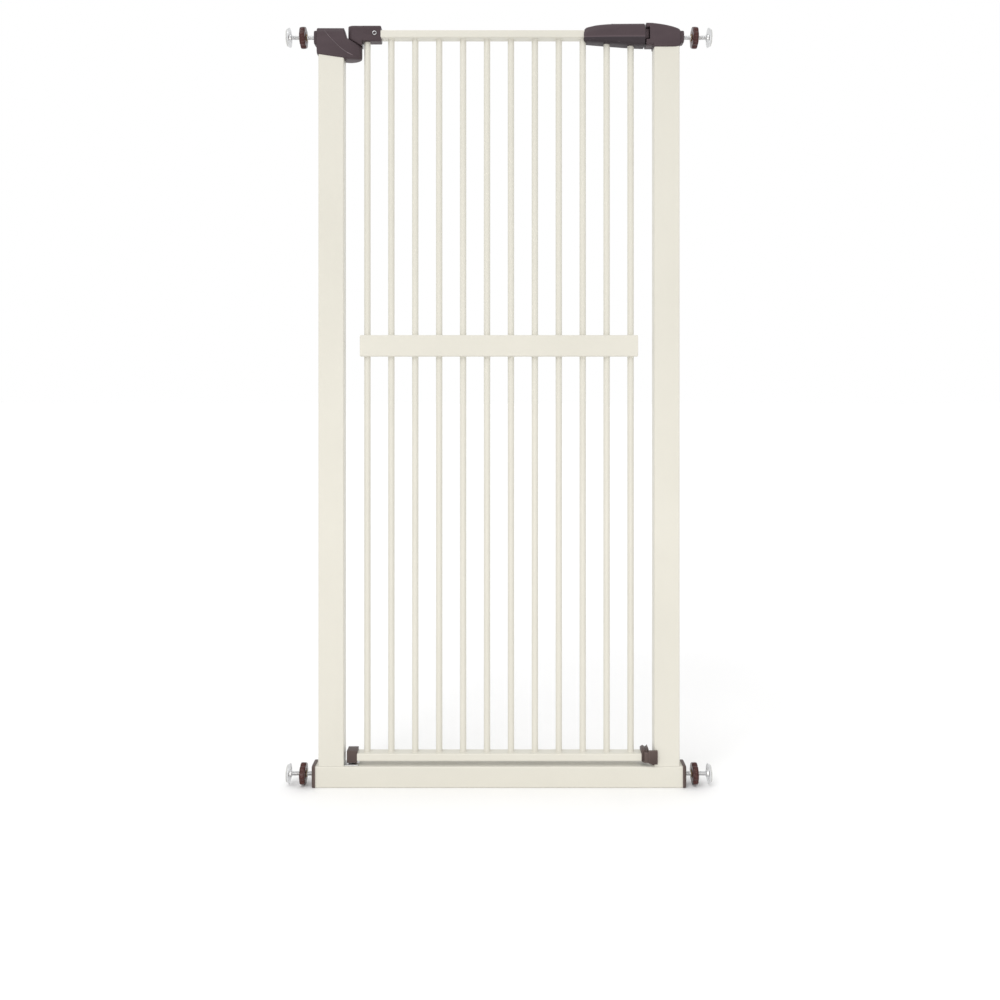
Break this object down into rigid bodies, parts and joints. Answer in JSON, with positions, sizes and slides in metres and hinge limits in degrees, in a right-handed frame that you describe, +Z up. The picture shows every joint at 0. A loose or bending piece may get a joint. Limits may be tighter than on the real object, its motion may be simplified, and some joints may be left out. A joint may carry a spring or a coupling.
{
  "type": "pet gate",
  "caption": "Extra-tall pressure-mounted pet gate: cream tube frame and barred swing door with brown moulded hinge, latch handle, and hand-nut spindles with wall pads.",
  "frame": {"origin": "on the floor, under the middle of the gate", "axes": "+X towards the latch side, +Y to the back (the door opens towards -Y), +Z up"},
  "size_m": [0.836, 0.043, 1.5],
  "materials": {
    "cream_paint": "satin cream powder coat",
    "brown_plastic": "fine-grained moulded plastic, brown",
    "maroon_plastic": "glossy dark maroon moulded plastic",
    "grey_plastic": "light grey moulded plastic",
    "zinc_steel": "bright zinc plate",
    "pressed_steel": "bright pressed steel",
    "brass_insert": "turned brass",
    "pad_rubber": "pale matt rubber"
  },
  "bodies": {
    "frame": {"left_post": "cream_paint", "right_post": "cream_paint", "threshold_rail": "cream_paint", "rail_end_cap_left": "brown_plastic", "rail_end_cap_right": "brown_plastic", "hinge_post_cap": "brown_plastic", "latch_post_cap": "brown_plastic", "lower_hinge_bracket": "zinc_steel", "post_cap_screws": "zinc_steel"},
    "hinge_pin": {"hinge_pin": "zinc_steel"},
    "door": {"door_top_rail": "cream_paint", "door_mid_rail": "cream_paint", "door_bottom_rail": "cream_paint", "mid_rail_plugs": "grey_plastic", "bar_01": "cream_paint", "bar_02": "cream_paint", "bar_03": "cream_paint", "bar_04": "cream_paint", "bar_05": "cream_paint", "bar_06": "cream_paint", "bar_07": "cream_paint", "bar_08": "cream_paint", "bar_09": "cream_paint", "bar_10": "cream_paint", "bar_11": "cream_paint", "bar_12": "cream_paint", "hinge_bracket": "brown_plastic", "hinge_bracket_screw": "zinc_steel", "lower_pivot_cap": "brown_plastic", "catch_cap": "brown_plastic", "handle_cover": "brown_plastic", "handle_base": "brown_plastic", "handle_screws": "zinc_steel"},
    "latch": {"latch_bolt": "zinc_steel", "thumb_slide": "brown_plastic"},
    "spindle_top_left": {"spindle_rod_top_left": "zinc_steel", "wall_disc_top_left": "pressed_steel", "wall_pad_top_left": "pad_rubber"},
    "insert_top_left": {"nut_insert_top_left": "brass_insert"},
    "nut_top_left": {"hand_nut_top_left": "maroon_plastic"},
    "spindle_top_right": {"spindle_rod_top_right": "zinc_steel", "wall_disc_top_right": "pressed_steel", "wall_pad_top_right": "pad_rubber"},
    "insert_top_right": {"nut_insert_top_right": "brass_insert"},
    "nut_top_right": {"hand_nut_top_right": "maroon_plastic"},
    "spindle_low_left": {"spindle_rod_low_left": "zinc_steel", "wall_disc_low_left": "pressed_steel", "wall_pad_low_left": "pad_rubber"},
    "insert_low_left": {"nut_insert_low_left": "brass_insert"},
    "nut_low_left": {"hand_nut_low_left": "maroon_plastic"},
    "spindle_low_right": {"spindle_rod_low_right": "zinc_steel", "wall_disc_low_right": "pressed_steel", "wall_pad_low_right": "pad_rubber"},
    "insert_low_right": {"nut_insert_low_right": "brass_insert"},
    "nut_low_right": {"hand_nut_low_right": "maroon_plastic"}
  },
  "joints": [
    {"name": "door_rise", "type": "slide", "parent": "frame", "child": "hinge_pin", "axis": [0, 0, 1], "range_m": [0, 0.01273]},
    {"name": "door_swing", "type": "hinge", "parent": "hinge_pin", "child": "door", "pos_m": [-0.284, 0, 0.75], "axis": [0, 0, -1], "range_deg": [0, 90]},
    {"name": "latch_slide", "type": "slide", "parent": "door", "child": "latch", "axis": [1, 0, 0], "range_m": [0, 0.0095]},
    {"name": "spindle_slide_top_left", "type": "slide", "parent": "frame", "child": "spindle_top_left", "axis": [-1, 0, 0], "range_m": [-0.004, 0.025]},
    {"name": "nut_travel_top_left", "type": "slide", "parent": "spindle_top_left", "child": "insert_top_left", "axis": [-1, 0, 0], "range_m": [-0.005, 0.012]},
    {"name": "nut_turn_top_left", "type": "hinge", "parent": "insert_top_left", "child": "nut_top_left", "pos_m": [-0.3855, 0, 1.474], "axis": [-1, 0, 0], "range_deg": [-1444, 3460]},
    {"name": "spindle_slide_top_right", "type": "slide", "parent": "frame", "child": "spindle_top_right", "axis": [1, 0, 0], "range_m": [-0.004, 0.025]},
    {"name": "nut_travel_top_right", "type": "slide", "parent": "spindle_top_right", "child": "insert_top_right", "axis": [1, 0, 0], "range_m": [-0.005, 0.012]},
    {"name": "nut_turn_top_right", "type": "hinge", "parent": "insert_top_right", "child": "nut_top_right", "pos_m": [0.3855, 0, 1.474], "axis": [1, 0, 0], "range_deg": [-1444, 3460]},
    {"name": "spindle_slide_low_left", "type": "slide", "parent": "frame", "child": "spindle_low_left", "axis": [-1, 0, 0], "range_m": [-0.004, 0.025]},
    {"name": "nut_travel_low_left", "type": "slide", "parent": "spindle_low_left", "child": "insert_low_left", "axis": [-1, 0, 0], "range_m": [-0.005, 0.012]},
    {"name": "nut_turn_low_left", "type": "hinge", "parent": "insert_low_left", "child": "nut_low_left", "pos_m": [-0.3855, 0, 0.0225], "axis": [-1, 0, 0], "range_deg": [-1444, 3460]},
    {"name": "spindle_slide_low_right", "type": "slide", "parent": "frame", "child": "spindle_low_right", "axis": [1, 0, 0], "range_m": [-0.004, 0.025]},
    {"name": "nut_travel_low_right", "type": "slide", "parent": "spindle_low_right", "child": "insert_low_right", "axis": [1, 0, 0], "range_m": [-0.005, 0.012]},
    {"name": "nut_turn_low_right", "type": "hinge", "parent": "insert_low_right", "child": "nut_low_right", "pos_m": [0.3855, 0, 0.0225], "axis": [1, 0, 0], "range_deg": [-1444, 3460]}
  ],
  "couplings": [
    {"joint": "door_rise", "follows": "door_swing", "m_per_rad": 0.007975},
    {"joint": "nut_turn_top_left", "follows": "nut_travel_top_left", "rad_per_m": 5026.5},
    {"joint": "nut_turn_top_right", "follows": "nut_travel_top_right", "rad_per_m": 5026.5},
    {"joint": "nut_turn_low_left", "follows": "nut_travel_low_left", "rad_per_m": 5026.5},
    {"joint": "nut_turn_low_right", "follows": "nut_travel_low_right", "rad_per_m": 5026.5}
  ]
}
